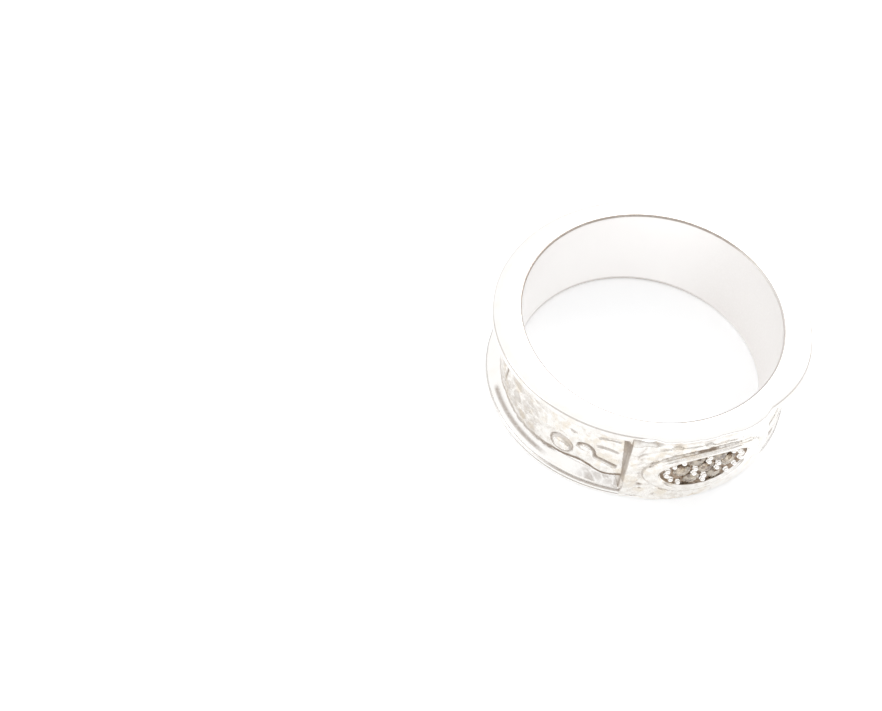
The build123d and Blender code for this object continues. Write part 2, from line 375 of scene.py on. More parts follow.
def turned_radius(angle, height):
    """The turned blank: rims, hollow slopes, the channel's floor and the lower rim's lines."""
    above = height > middle
    level = np.where(above, band_height - height, height)
    face = np.where(above, upper_rim["face"], lower_rim["face"])
    outer = np.where(above, rim_reach(angle, upper_rim), rim_reach(angle, lower_rim))
    turn = np.clip((level - face) / rim_shoulder + 1, 0, 1)
    outer = outer - rim_shoulder * (1 - np.sqrt(1 - turn**2))
    down = np.clip((level - face) / rim_slope, 0, 1) ** slope_bend
    radius = outer + (floor_radius - outer) * down
    for share in line_shares:
        offset = (height - share * lower_rim["face"]) / line_radius
        radius = radius - line_radius * np.sqrt(np.clip(1 - offset**2, 0, 1))
    return radius


for name, rim in (("upper", upper_rim), ("lower", lower_rim)):
    print(f"{name} rim: {rim_reach(0.0, rim):.2f} mm from the axis in front, {rim['side']:.2f} at the sides")

# %% [markdown]
# ## Hammered skin
#
# The shoulders and the plaque have a nugget skin: low uneven pillows with creases between them. In a net of
# scattered points each spot belongs to its nearest point, swells towards it and sinks at the border to the
# next. A sine shifts the points, so no two pillows are alike.

# %% Pillows round scattered points
def scatter(column, row, turn):
    """A steady number from 0 to 1 for a cell of the net."""
    value = np.sin(column * 12.9898 + row * 78.233 + turn * 37.719) * 43758.5453
    return value - np.floor(value)


def pillows(x, y, pitch, turn):
    """Low pillows of about one pitch across, from 0 in the creases to 1 on top."""
    x, y = x / pitch, y / pitch
    column, row = np.floor(x), np.floor(y)
    nearest = np.full(np.shape(x), 9.0)
    second = np.full(np.shape(x), 9.0)
    lift = np.zeros(np.shape(x))
    for i in (-1, 0, 1):
        for j in (-1, 0, 1):
            c, r = column + i, row + j
            away = np.hypot(c + scatter(c, r, turn) - x, r + scatter(c, r, turn + 1) - y)
            closer = away < nearest
            second = np.where(closer, nearest, np.minimum(second, away))
            lift = np.where(closer, scatter(c, r, turn + 2), lift)
            nearest = np.where(closer, away, nearest)
    crease = np.clip((second - nearest) / 0.35, 0, 1)
    return (0.55 + 0.45 * lift) * (1 - 0.5 * nearest**2) * (0.35 + 0.65 * crease * (2 - crease))


def step(value, start=0, length=1):
    """0 up to a start, 1 from a length beyond it, and a smooth rise between."""
    t = np.clip((value - start) / length, 0, 1)
    return t * t * (3 - 2 * t)


def between(value, low, high, rise, fall):
    """1 between two bounds and 0 outside, with a smooth rise and fall over two lengths inside them."""
    return step(value, low, rise) * step((high - value) / fall)


print("pillow heights:", pillows(np.array([0.1, 0.5, 0.9]), np.array([0.2, 0.6, 0.4]), 1.0, 0).round(2))

# %% [markdown]
# ## The shoulders' relief
#
# Beside the plaque each shoulder carries a raised plate with a wavy lower edge, which turns up at its far
# end. Its face leans, so that it stands out most at that edge. Three short bars, a hook that runs into the
# lowest bar and a drop are sunk into it, a pearl lies low in the drop, and hammered pillows fill the rest.
# Each one is a distance to its line or outline, which turns into a depth. Lengths run along the channel from
# the plaque's wall, and heights run up from the table.

# %% Tables of the relief
relief_length = 15.5
relief_taper = 2.0
plate_softness = 0.09
# The plate's lower edge, as pairs of a length along the channel and a height
plate_edge = (
    (-0.2, 2.52), (0.3, 2.40), (0.7, 2.28), (1.3, 2.21), (1.8, 2.33),
    (2.3, 2.51), (3.0, 2.66), (3.4, 2.64), (4.2, 2.45), (5.4, 2.26),
    (6.6, 2.12), (8.0, 2.02), (9.2, 2.05), (10.5, 2.22), (12.0, 2.50),
    (13.0, 2.80), (14.0, 3.45), (14.8, 4.60), (15.5, 7.50),
)
bars = (
    {"near": 6.08, "far": 5.80, "bow": 0.14, "radius": 0.10, "depth": 0.10},
    {"near": 4.90, "far": 4.95, "bow": 0.12, "radius": 0.10, "depth": 0.10},
    {"near": 3.42, "far": 3.76, "bow": 0.05, "radius": 0.15, "depth": 0.18},
)
bar_start, bar_end = 0.44, 2.06
hook = {"along": 2.88, "up": 3.87, "radius": 0.72, "wire": 0.15, "depth": 0.20, "end": 30.0}
drop = {"along": 4.80, "up": 3.60, "wide": 0.96, "high": 0.72, "depth": 0.20}
swells = {
    "pearl in the drop": {"along": 4.83, "up": 3.30, "wide": 0.84, "high": 0.44, "rise": 0.24},
    "cheek under the hook": {"along": 2.90, "up": 3.55, "wide": 0.66, "high": 0.56, "rise": 0.10},
    "cheek under the bars": {"along": 1.25, "up": 2.90, "wide": 1.00, "high": 0.42, "rise": 0.06},
    "dot": {"along": 3.45, "up": 5.05, "wide": 0.15, "high": 0.17, "rise": 0.08},
    "upper knob": {"along": 3.10, "up": 6.05, "wide": 0.34, "high": 0.40, "rise": 0.07},
}
plate_hammer = {"depth": 0.13, "pitch": 1.05, "fine_pitch": 0.5}
dashes = (
    {"along": 4.10, "up": 5.35, "length": 0.55, "radius": 0.08, "depth": 0.10},
    {"along": 5.00, "up": 4.70, "length": 0.35, "radius": 0.07, "depth": 0.06},
)


# %% The plate's outline
def plate_radius(height):
    """The leaning plate's plain face."""
    return relief_radius - (height - middle) * math.tan(plate_lean)


def plate_outside(u, z):
    """How far a spot lies below the plate's wavy edge, negative on the plate."""
    return np.interp(u, *zip(*plate_edge)) - z


def along_channel(angle):
    """The length along the channel from the plaque's wall."""
    return (np.abs(angle) - wall_angle) * relief_radius


# %% The relief's cuts
def groove(distance, radius, depth):
    """A round-bottomed groove: its depth for a distance from its line."""
    return depth * np.sqrt(np.clip(1 - (distance / radius) ** 2, 0, 1))


def bar_distance(u, z, bar):
    """The distance to a bar's slightly bowed line."""
    t = np.clip((u - bar_start) / (bar_end - bar_start), 0, 1)
    line = bar["near"] + (bar["far"] - bar["near"]) * t + bar["bow"] * np.sin(math.pi * t)
    return np.hypot(u - (bar_start + t * (bar_end - bar_start)), z - line)


def hook_distance(u, z):
    """The distance to the hook's arc, which ends short on its far side."""
    across, above = u - hook["along"], z - hook["up"]
    turn = np.degrees(np.arctan2(above, across))
    on_arc = np.abs(np.hypot(across, above) - hook["radius"])
    end = math.radians(hook["end"])
    tip = np.hypot(across - hook["radius"] * math.cos(end), above - hook["radius"] * math.sin(end))
    foot = np.hypot(across + hook["radius"], above)
    inside = (turn >= hook["end"]) & (turn <= 180)
    return np.where(inside, on_arc, np.minimum(tip, foot))


def oval_share(u, z, oval):
    """0 in the middle of an oval from the tables and 1 on its outline."""
    return np.hypot((u - oval["along"]) / oval["wide"], (z - oval["up"]) / oval["high"])


def relief_cuts(u, z):
    """The depth of the bars, the hook, the drop and the dashes."""
    cuts = [groove(bar_distance(u, z, bar), bar["radius"], bar["depth"]) for bar in bars]
    cuts.append(groove(hook_distance(u, z), hook["wire"], hook["depth"]))
    cuts.append(drop["depth"] * step((1 - oval_share(u, z, drop)) / 0.16))
    for dash in dashes:
        t = np.clip(u - dash["along"], -dash["length"] / 2, dash["length"] / 2)
        away = np.hypot(u - dash["along"] - t, z - dash["up"])
        cuts.append(groove(away, dash["radius"], dash["depth"]))
    return np.maximum.reduce(cuts)


def relief_swells(u, z):
    """The rise of the swellings on the plate."""
    return sum(s["rise"] * np.sqrt(np.clip(1 - oval_share(u, z, s) ** 2, 0, 1)) for s in swells.values())


# %% The shoulders' surface
def relief_radius_at(angle, height):
    """The shoulders: plate, cuts, swells and pillows, as a distance from the axis."""
    side = np.where(angle < 0, 0.0, 5.0)
    u = along_channel(angle)
    plate = step(0.5 - plate_outside(u, height) / plate_softness) * step((relief_length - u) / relief_taper)
    calm = step(u, 2.1, 1.2) * step((relief_length - u) / relief_taper)
    rough = plate_hammer["depth"] * calm * (0.45 + 0.55 * step(u, 5.4, 1.2))
    skin = rough * (pillows(u + 3 * side, height, plate_hammer["pitch"], 2) - 0.4)
    skin += 0.5 * rough * (pillows(u + 5 * side, height * 1.2, plate_hammer["fine_pitch"], 7) - 0.4)
    rise = np.maximum(plate_radius(height) - floor_radius, 0.02)
    return floor_radius + plate * (rise + skin + relief_swells(u, height) - relief_cuts(u, height))


print(f"{relief_length} mm of relief on each shoulder: {len(bars)} bars,", ", ".join(swells))

# %% [markdown]
# ## The plaque
#
# The front is a thicker block with two flat side walls. Its skin is hammered, with a furrow above and below
# the smooth oval lip, a fine line round the lip's ends, a wavy terrace above and a few punched dimples. The
# lip is a piece of its own, so the block is sunk inside it.

# %% Distances round the oval
oval_width = 7.0
oval_height = 4.1
lip_end = 1.2
lip_side = 0.5


def oval_distance(x, y, share):
    """How far a spot lies outside an oval: share is 0 on the pocket's edge and 1 on the lip's outer edge."""
    wide = oval_width / 2 + share * lip_end
    high = oval_height / 2 + share * lip_side
    level = np.sqrt((x / wide) ** 2 + (y / high) ** 2) + 1e-6
    slope = np.sqrt((x / wide**2) ** 2 + (y / high**2) ** 2) / level + 1e-6
    return (level - 1) / slope


hammer = {"depth": 0.085, "pitch": 1.25, "fine_depth": 0.03, "fine_pitch": 0.6}
# How far the block is off its plain shape in places, in millimetres
wear = {"brow": 0.17, "dip": 0.20, "swell": 0.10, "corner": 0.30, "upper_ear": 0.35, "lower_ear": 0.20}
furrow = {"width": 0.42, "depth": 0.19, "end_share": 0.25}
terrace = {"drop": 0.10, "soft": 0.12}
# Where the terrace starts, as pairs of x and the distance outside the lip
terrace_line = (
    (-5.7, 1.10), (-4.1, 1.15), (-3.1, 1.28), (-2.1, 0.95), (-1.1, 0.80),
    (-0.4, 0.85), (0.3, 0.60), (1.9, 0.57), (3.3, 0.35),
)
fine_line = {"away": 0.06, "radius": 0.07, "depth": 0.06}
dimples = (
    {"x": -4.72, "up": 2.25, "radius": 0.42, "depth": 0.12},
    {"x": -4.60, "up": 1.78, "radius": 0.20, "depth": 0.10},
    {"x": -3.55, "up": 0.95, "radius": 0.45, "depth": 0.09},
    {"x": -4.95, "up": 5.90, "radius": 0.50, "depth": 0.08},
    {"x": 4.75, "up": 1.90, "radius": 0.45, "depth": 0.09},
)


# %% The plaque's surface
def wall_reach(angle, height):
    """The distance from the axis to the plaque's flat side wall. The right one leans in towards its top."""
    lean = np.where(angle > 0, 0.42 * step(height, 3.0, 3.5) - 0.05, 0.0)
    return (panel_width / 2 - lean) / np.maximum(np.abs(np.sin(angle)), 0.05)


def smoothed_and_lit_share(x):
    """Wear smoothing the plaque's skin towards its right, which also paints shade on the skin's left."""
    return step(x, -1.5, 5.5)


def plaque_radius_at(angle, height):
    """The plaque's block, or nothing behind the finger."""
    x = panel_radius * np.sin(angle)
    y = height - middle
    away = oval_distance(x, y, 1.0)
    quiet = smoothed_and_lit_share(x)
    coarse = hammer["depth"] * (1 - 0.55 * quiet) * (pillows(x + 20, height, hammer["pitch"], 11) - 0.55)
    fine = pillows(x + 9, height + 4, hammer["fine_pitch"], 5) - 0.5
    fine = hammer["fine_depth"] * (1 - 0.6 * quiet) * fine
    skin = (coarse + fine) * step(away / 0.5)
    wave = np.interp(x, *zip(*terrace_line))
    skin -= terrace["drop"] * step(away, wave, terrace["soft"]) * step(y, 0.6, 1.0)
    end = step(np.abs(x), 2.6, 1.4)
    ditch = np.sin(math.pi * np.clip(away / furrow["width"], 0, 1))
    skin -= furrow["depth"] * ditch * (1 - (1 - furrow["end_share"]) * end)
    skin += 0.07 * (pillows(2 * x + 3, 1.5 * height, 0.9, 21) - 0.5) * ditch * (y > 0)
    skin -= end * groove(away - fine_line["away"], fine_line["radius"], fine_line["depth"])
    for dimple in dimples:
        hollow = np.clip(1 - np.hypot(x - dimple["x"], height - dimple["up"]) / dimple["radius"], 0, 1)
        skin -= dimple["depth"] * step(hollow)
    dip = wear["dip"] * step(height, 7.3, 0.7) * step((2.5 - x) / 2)
    brow = wear["brow"] * step(-x, 4.9, 0.7) - dip
    swell = wear["swell"] * step(x, 1, 2) * step(height, 5.5, 1.5)
    corner = wear["corner"] * step(x, 4.0, 1.6) * step(height, 3.6, 4.2)
    ears = wear["upper_ear"] * step(height, 7.35, 0.35) + wear["lower_ear"] * step((1.0 - height) / 0.8)
    block = panel_radius - 0.03 + brow + swell - corner - ears * step(-x, 3.6, 1.6) + skin
    block = np.where(oval_distance(x, y, 0.5) < 0, floor_radius, block)
    return np.where(np.cos(angle) > 0, np.minimum(block, wall_reach(angle, height)), 0.0)


print(f"furrow {furrow['depth']} deep, {len(dimples)} dimples")

# %% [markdown]
# ## Building the band
#
# The grid follows the section: up the finger's hole, out over the top face, down the outside and back under
# the bottom face. Columns stand close together on the plaque, closer at its walls and wide apart at the back,
# so that the triangles go where the detail is.

# %% Columns and rows of the grid
def column_angles():
    """The columns' angles from the front, close together where there is detail."""
    corner = math.asin(panel_width / 2 / panel_radius)
    foot = math.asin(panel_width / 2 / floor_radius)
    far = wall_angle + relief_length / relief_radius
    # Pairs of the angle where a stretch ends and the columns' distance in it
    stretches = ((corner, 0.080), (foot, 0.050), (far, 0.094), (math.pi, 0.420))
    half, start = [0.0], 0.0
    for end, pitch in stretches:
        count = math.ceil((end - start) * panel_radius / pitch)
        half += list(np.linspace(start, end, count + 1)[1:])
        start = end
    return np.array([-a for a in half[:0:-1]] + half[:-1])


def rim_levels(face, lines):
    """Rows over one rim and its slope, from its own end of the ring inwards."""
    shoulder = [face - rim_shoulder * (1 - math.sin(t)) for t in np.linspace(0, math.pi / 2, 5)]
    slope = [face + rim_slope * (i / 8) ** (1 / slope_bend) for i in range(1, 9)]
    face_rows = [rim_round, 0.34, 0.54, 0.70]
    rim = {round(z, 3) for z in face_rows + shoulder + lines}
    return sorted(rim) + slope


def outer_levels(pitch):
    """Heights of the rows on the outside, from the bottom up, a pitch apart between the rims."""
    over_line = (-1, -0.5, 0, 0.5, 1)
    lines = [share * lower_rim["face"] + line_radius * t for share in line_shares for t in over_line]
    low = rim_levels(lower_rim["face"], lines)
    high = rim_levels(upper_rim["face"], [])
    rows = math.ceil((band_height - low[-1] - high[-1]) / pitch)
    centre = list(np.linspace(low[-1], band_height - high[-1], rows + 1))[1:-1]
    return np.array(low + centre + [band_height - z for z in reversed(high)])


angles = column_angles()
levels = outer_levels(pitch=0.064)
print(f"{len(angles)} columns, {len(levels)} rows on the outside")


# %% Soften the cuts, and find the low places
def blurred(grid, passes):
    """The grid evened out with its neighbours, round the ring and up and down."""
    for _ in range(passes):
        grid = (np.roll(grid, 1, 1) + 2 * grid + np.roll(grid, -1, 1)) / 4
        padded = np.vstack([grid[:1], grid, grid[-1:]])
        grid = (padded[:-2] + 2 * padded[1:-1] + padded[2:]) / 4
    return grid


angle_grid, level_grid = np.meshgrid(angles, levels)
turned = turned_radius(angle_grid, level_grid)
carved = blurred(relief_radius_at(angle_grid, level_grid), passes=1)
sharp_plaque = plaque_radius_at(angle_grid, level_grid)
worn_corner = step(angle_grid, 0.38, 0.06)
plaque = sharp_plaque + worn_corner * (blurred(sharp_plaque, passes=3) - sharp_plaque)
outside = np.maximum(np.maximum(turned, carved), plaque)
shown = np.where(plaque > 0, np.maximum(outside, pocket_radius), outside)
hollow = blurred(shown, passes=14) - shown
print(f"deepest hollow {hollow.max():.2f} mm below its neighbours")

# %% [markdown]
# Tarnish gathers first in the hollows, which the blur has found, and there is more of it in the cuts and at
# the plate's far end. Painted light joins it: a painted shadow under the plate's lower edge, painted shade on
# the plaque's side walls, tarnish and painted shade in the furrow, and painted shade and dark reflections in
# a stripe and a patch on the lower rim. A cream skin lies wherever the casting was hammered.

# %% Spread the tarnish and the skin
def gap_painted_shadow(u, z):
    """Tarnish on the plate's lower edge and a painted shadow of the gap below it, darkest near the plaque."""
    above = -plate_outside(u, z)
    strength = 1.0 - 0.45 * step(u, 4.5, 3.5)
    width = 0.34 + 0.03 * step(u, 3.0, 4.0)
    return strength * between(above, -0.05, width + 0.06, 0.05, 0.12) * (u < relief_length)


def lower_rim_shade_and_tarnish(angle, z, radius):
    """On the lower rim: a stripe and a patch of painted reflection, painted shade on its edge, tarnish in its
    lines.
    """
    outer = rim_reach(angle, lower_rim)
    turn = np.degrees(np.abs(angle))
    inwards = (outer - radius) / (outer - floor_radius)
    on_slope = (z > lower_rim["face"] - 0.01) & (z < lower_rim["face"] + rim_slope + 0.01)
    stripe = 0.65 * between(inwards, 0.28, 0.58, 0.06, 0.06) * between(turn, 58, 97, 8, 3)
    patch = 0.55 * between(inwards, 0.20, 0.95, 0.08, 0.10) * step((50 - turn) / 10)
    patch = patch * step(pillows(0.2 * turn, 2.5 * z, 0.8, 17))
    near = step((62 - turn) / 10)
    edge = 0.35 * near * (np.abs(z - lower_rim["face"]) < 0.03) * (radius > outer - 0.13)
    # The two lines hold tarnish, painted stronger in front and on the left as shade.
    for share, strength in zip(line_shares, (0.35, 0.65)):
        on_line = np.abs(z - share * lower_rim["face"]) < line_radius
        edge = np.maximum(edge, strength * on_line * (0.4 + 0.6 * near))
    on_left = np.where(angle < 0, 1.0, 0.25)
    return np.maximum(on_slope * np.maximum(stripe, patch), edge * on_left) * (turn < 125)


def wall_painted_shade(angle, z):
    """Painted shade on the plaque's side walls, up to the rim and darkest at the top."""
    reach = wall_reach(angle, z)
    top = band_height - upper_rim["face"] + 1.2 * np.clip(reach - 11.64, 0, 0.5)
    beside = (reach < panel_radius + np.where(angle < 0, 0.06, -0.50)) & (np.cos(angle) > 0)
    return (0.62 + 0.25 * step(z, 5.6, 1.2)) * beside * between(z, 2.2, top, 0.3, 0.10)


def furrow_tarnish_and_shade(x, y):
    """Dark spots in the furrow above the lip, tarnish with painted shade, closest together right of its
    middle.
    """
    away = oval_distance(x, y, 1.0)
    bank = between(away, -0.12, 0.30, 0.05, 0.10)
    spots = step(pillows(2 * x + 3, 1.5 * y, 0.9, 21), 0.30, 0.20)
    dense = between(x, -1.3, 0.5, 0.2, 0.3)
    scarce = between(x, -3.6, 1.2, 0.4, 0.4)
    return (y > 0) * bank * np.maximum(0.95 * dense, 0.8 * scarce * (1 - spots))


channel = along_channel(angle_grid)
across = panel_radius * np.sin(angle_grid)
on_plaque = plaque >= outside
on_plate = (carved >= outside) & ~on_plaque & (carved > floor_radius + 0.02)
far_back = step(channel, 6.2, 2.0)
under_rim = step(level_grid, 7.2, 0.3)

creases = np.clip((hollow - 0.010) / 0.07, 0, 1) * 0.85 * (1 - 0.6 * under_rim) * (on_plaque | on_plate)
creases = creases * np.where(on_plate, 0.55 + 0.45 * far_back, 1 - worn_corner)
streaks = step(pillows(0.5 * channel, 1.4 * level_grid, 0.8, 31), 0.35, 0.4)
cuts = np.clip(relief_cuts(channel, level_grid) - relief_swells(channel, level_grid), 0, 0.15) / 0.15
from_drop = oval_share(channel, level_grid, drop)
cuts = cuts * 0.8 * (1 - 0.55 * step((1 - from_drop) / 0.10))
ring_line = np.abs(from_drop - 1) * drop["high"]
# The layers: tarnish in the hollows, the cuts and the plate's far end, a painted shadow under the plate's
# edge, painted shade and dark reflections on the lower rim, painted shade on the plaque's walls, and tarnish
# with painted shade in the furrow.
layers = (
    (on_plate | on_plaque, creases),
    (on_plate, cuts),
    (on_plate, far_back * (0.07 + 0.28 * streaks)),
    (on_plate, 0.75 * step((0.08 - ring_line) / 0.04)),
    (~on_plaque, gap_painted_shadow(channel, level_grid)),
    (~on_plaque, lower_rim_shade_and_tarnish(angle_grid, level_grid, outside)),
    (on_plaque, wall_painted_shade(angle_grid, level_grid)),
    (on_plaque, furrow_tarnish_and_shade(across, level_grid - middle)),
)
tarnish_and_shade = np.maximum.reduce([where * share for where, share in layers])
on_upper_rim = (level_grid > band_height - upper_rim["face"]) & (channel > -1) & (channel < relief_length)
# The plaque's skin share falls towards its right, so its left is painted creamier and darker as shade.
cast = np.select((on_plaque, on_plate, on_upper_rim), (1 - 0.5 * smoothed_and_lit_share(across), 1.0, 0.6), 0.0)
cast = blurred(cast, passes=2)
print(f"{(tarnish_and_shade > 0.5).mean():.1%} of the outside is tarnished, {(cast > 0.5).mean():.1%} keeps its skin")


# %% Lay the grid over the whole section
def edge_rows(radii, top):
    """Five rows over a rounded edge: pairs of a radius for each column and a height."""
    rows = []
    for i in range(5):
        turn = math.pi / 2 * i / 5
        drop_down = rim_round * (1 - math.cos(turn))
        rows.append((radii - rim_round * (1 - math.sin(turn)), band_height - drop_down if top else drop_down))
    return rows


def section_rows():
    """All rows of the closed section, starting at the foot of the finger's hole."""
    plain = np.ones(len(angles))
    hole_levels = [bore_edge] + list(np.linspace(bore_edge + 0.22, band_height - bore_edge, 7))
    hole = [(bore_radius * plain, z) for z in hole_levels]
    lower, upper = outside[0], outside[-1]
    inner_top = [
        ((bore_radius + bore_edge * (1 - math.cos(t))) * plain, band_height - bore_edge * (1 - math.sin(t)))
        for t in np.linspace(0, math.pi / 2, 6)[1:]
    ]
    inner_low = [(radius, band_height - z) for radius, z in reversed(inner_top)]
    start = inner_top[-1][0]
    shares = (0.05, 0.4, 0.75)
    top_face = [(start + (upper - rim_round - start) * s, band_height) for s in shares]
    low_face = [(start + (lower - rim_round - start) * s, 0.0) for s in reversed(shares)]
    top_edge = edge_rows(upper, True)
    low_edge = edge_rows(lower, False)[::-1]
    outer = [(outside[i], levels[i]) for i in range(len(levels) - 1, -1, -1)]
    rows = hole + inner_top + top_face + top_edge + outer + low_edge + low_face + inner_low
    first_outer = len(hole + inner_top + top_face + top_edge)
    return rows, len(hole), first_outer


rows, hole_rows, first_outer = section_rows()
print(f"{len(rows)} rows round the section")


# %% Helpers that make a closed mesh
def signed_volume(points, quads):
    """The volume inside the faces, negative if they point inwards."""
    a, b, c, d = (points[quads[:, k]] for k in range(4))
    return (np.einsum("ij,ij->i", a, np.cross(b, c)) + np.einsum("ij,ij->i", a, np.cross(c, d))).sum() / 6


def shade(mesh, tarnish_and_shade_share, cast_share):
    """Smooths a mesh and gives it its two numbers, for each point or one for all."""
    mesh.polygons.foreach_set("use_smooth", [True] * len(mesh.polygons))
    for label, share in (("tarnish_and_shade", tarnish_and_shade_share), ("cast", cast_share)):
        values = np.broadcast_to(np.asarray(share, dtype=np.float32).ravel(), len(mesh.vertices))
        mesh.attributes.new(label, "FLOAT", "POINT").data.foreach_set("value", values.copy())


def make_piece(name, points, quads, material, tarnish_and_shade_share, cast_share):
    """A smooth closed piece from points in millimetres, with its tarnish and painted shade and its skin."""
    if signed_volume(points, quads) < 0:
        quads = quads[:, ::-1]
    mesh = bpy.data.meshes.new(name)
    faces = [tuple(dict.fromkeys(q)) for q in quads.tolist()]
    mesh.from_pydata((points * MM).tolist(), [], faces)
    shade(mesh, tarnish_and_shade_share, cast_share)
    mesh.materials.append(material)
    mesh.update()
    piece = put_in_scene(name, mesh)
    triangles = sum(len(f) - 2 for f in faces)
    print(f"{name}: {triangles} triangles, {abs(signed_volume(points, quads)):.1f} mm3")
    return piece


def ring_quads(row_count, column_count):
    """Quads of a grid that closes both ways."""
    i, j = np.meshgrid(np.arange(row_count), np.arange(column_count), indexing="ij")
    below, right = (i + 1) % row_count, (j + 1) % column_count
    here, there = i * column_count, below * column_count
    return np.stack([c.ravel() for c in (here + j, there + j, there + right, here + right)], 1)


# %% Make the band
reach = np.array([row[0] for row in rows])
height = np.array([np.full(len(angles), row[1]) for row in rows])
band_points = np.stack([reach * np.sin(angles), -reach * np.cos(angles), height], 2).reshape(-1, 3)
band_tarnish_and_shade, band_cast = np.zeros(reach.shape), np.zeros(reach.shape)
outer_rows = slice(first_outer, first_outer + len(levels))
band_tarnish_and_shade[outer_rows], band_cast[outer_rows] = tarnish_and_shade[::-1], cast[::-1]
turn = np.degrees(np.abs(angles))
# Painted dark reflection: a thin line on the rounded top edge of the finger's hole, stronger on the left and
# towards the back.
front_share = np.where(angles < 0, 0.7, 0.45)
hole_edge_painted_reflection = (0.8, 0.8, 0.8, 0.5)
hole_painted_shade = (0.17, 0.09)
for row, share in enumerate(hole_edge_painted_reflection):
    band_tarnish_and_shade[hole_rows + 1 + row] = share * (front_share + (1 - front_share) * step(turn, 95, 30))
# Painted shade: the hole's wall on the right is darkened, most towards its foot.
shaded_side = between(np.degrees(angles), 25, 150, 30, 40)
band_tarnish_and_shade[:hole_rows] = np.linspace(*hole_painted_shade, hole_rows)[:, None] * shaded_side
# Painted shadow: a grey line round the foot of the finger's hole, where it meets the table, darker towards
# the back.
foot_painted_shadow = 0.18 + 0.34 * step(turn, 95, 55)
band_tarnish_and_shade[-4:] = foot_painted_shadow
band_tarnish_and_shade[0] = 0.8 * foot_painted_shadow
# Painted dark reflection: a thin line on the top face's outer rounded edge over the shoulders.
top_edge_painted_reflection = np.maximum(0.42 * between(turn, 24, 112, 3, 12), 0.14 * step(turn, 100, 12))
band_tarnish_and_shade[first_outer - 2 : first_outer] = top_edge_painted_reflection
band_quads = ring_quads(len(rows), len(angles))
band = make_piece("silver_band", band_points, band_quads, silver, band_tarnish_and_shade, band_cast)


def on_wall(face):
    """Whether a face lies in the plaque's side walls, which stay flat where the rest is smooth."""
    away = abs(face.center.x) / MM - panel_width / 2
    return abs(face.normal.x) > 0.97 and -0.53 < away < 0.06


band.data.polygons.foreach_set("use_smooth", [not on_wall(face) for face in band.data.polygons])
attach(band, "root")
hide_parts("band")

# %% [markdown]
# ## The oval lip
#
# A smooth bright rim is left round the pocket when the rest is hammered. It is wider at its two ends and
# falls softly towards its outer edge. Geometry Nodes make it: a section is swept round a circle, the flat
# ring is stretched between the pocket's oval and the lip's, and a last step bends it round the finger.

# %% Helpers that build a rule and turn it into a mesh
def piece_from_rule(name, rule, sizes, material, cast_share, seed_mesh=None):
    """Runs a rule once with its sizes, and returns the result as a plain mesh object."""
    start = put_in_scene(name + "_rule", seed_mesh or bpy.data.meshes.new(name + "_seed"))
    modifier = start.modifiers.new("rule", "NODES")
    modifier.node_group = rule(sizes)
    values = {**sizes, "Material": material}
    for item in modifier.node_group.interface.items_tree:
        if item.in_out == "INPUT" and item.name in values:
            modifier[item.identifier] = values[item.name]
    depsgraph = bpy.context.evaluated_depsgraph_get()
    mesh = bpy.data.meshes.new_from_object(start.evaluated_get(depsgraph), depsgraph=depsgraph)
    mesh.name = name
    shade(mesh, 0.0, cast_share)
    piece = put_in_scene(name, mesh)
    bpy.data.objects.remove(start)
    print(f"{name}: {sum(len(p.vertices) - 2 for p in mesh.polygons)} triangles")
    return piece


def new_rule(name, sizes, takes_geometry=False):
    """An empty geometry tree with an input for each named size and one for the material."""
    tree = bpy.data.node_groups.new(name, "GeometryNodeTree")
    sockets = [("Geometry", "INPUT", "Geometry")] if takes_geometry else []
    sockets += [(label, "INPUT", "Float") for label in sizes]
    sockets += [("Material", "INPUT", "Material"), ("Geometry", "OUTPUT", "Geometry")]
    for label, side, kind in sockets:
        tree.interface.new_socket(label, in_out=side, socket_type="NodeSocket" + kind)
    given = tree.nodes.new("NodeGroupInput")
    result = tree.nodes.new("NodeGroupOutput")
    return tree, given.outputs, result.inputs[0]


def geometry_node(tree, kind, inputs=(), **settings):
    """One step on geometry, and its result."""
    return add_node(tree, "GeometryNode" + kind, inputs, **settings).outputs[0]


def end_rule(tree, geometry, material, result):
    """The end of every rule: real copies instead of instances, and their material."""
    real = geometry_node(tree, "RealizeInstances", {"Geometry": geometry})
    tree.links.new(geometry_node(tree, "SetMaterial", {"Geometry": real, "Material": material}), result)


